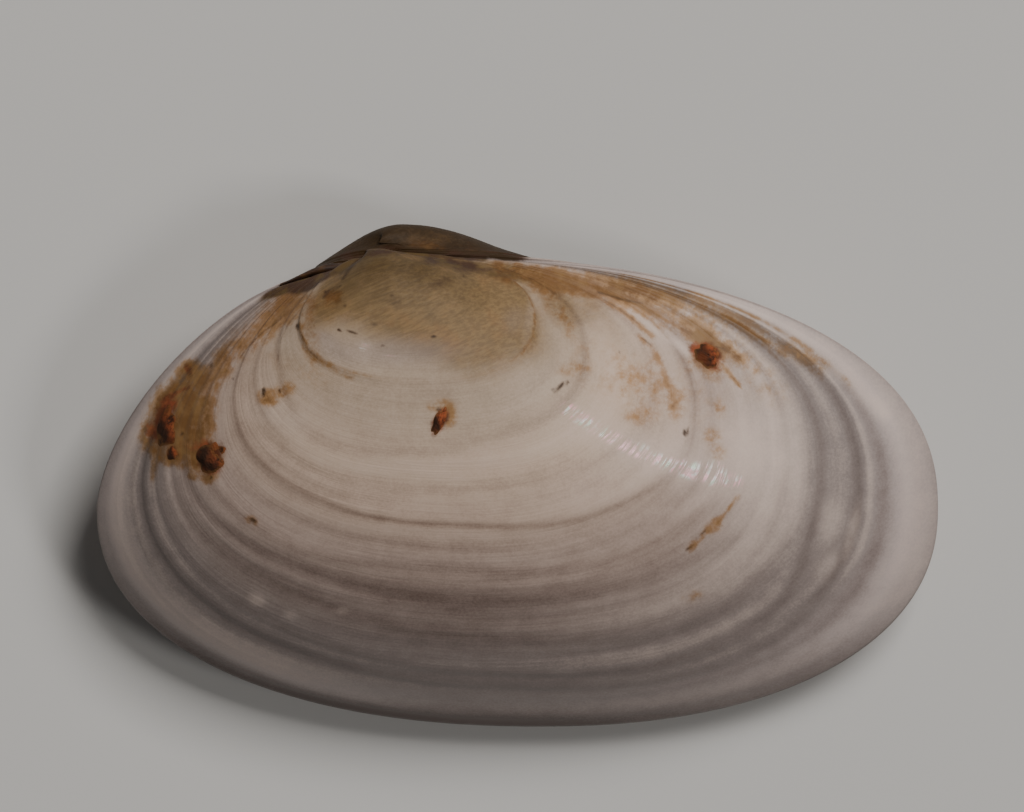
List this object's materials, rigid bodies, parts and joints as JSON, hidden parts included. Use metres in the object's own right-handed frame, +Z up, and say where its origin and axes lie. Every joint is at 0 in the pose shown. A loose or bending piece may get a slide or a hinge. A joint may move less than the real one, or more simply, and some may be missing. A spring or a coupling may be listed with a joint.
{
  "type": "bivalve shell",
  "caption": "Small closed clam shell, long oval and off-white, with raised growth rings, a tan umbo and rust spots, lying flat on its lower valve.",
  "frame": {"origin": "middle of the shell's box at the level of the surface that it lies on", "axes": "+X towards the long end of the shell, +Y towards the hinge and the beaks, +Z up out of the upper valve"},
  "size_m": [0.008, 0.005, 0.0025],
  "materials": {
    "upper_valve_shell": "satin chalky shell with fine growth lines and rust stains",
    "lower_valve_shell": "satin chalky shell with fine growth lines",
    "ligament": "dry brown horny band"
  },
  "bodies": {
    "root": {"upper_valve": "upper_valve_shell", "lower_valve": "lower_valve_shell", "ligament": "ligament"}
  },
  "joints": []
}
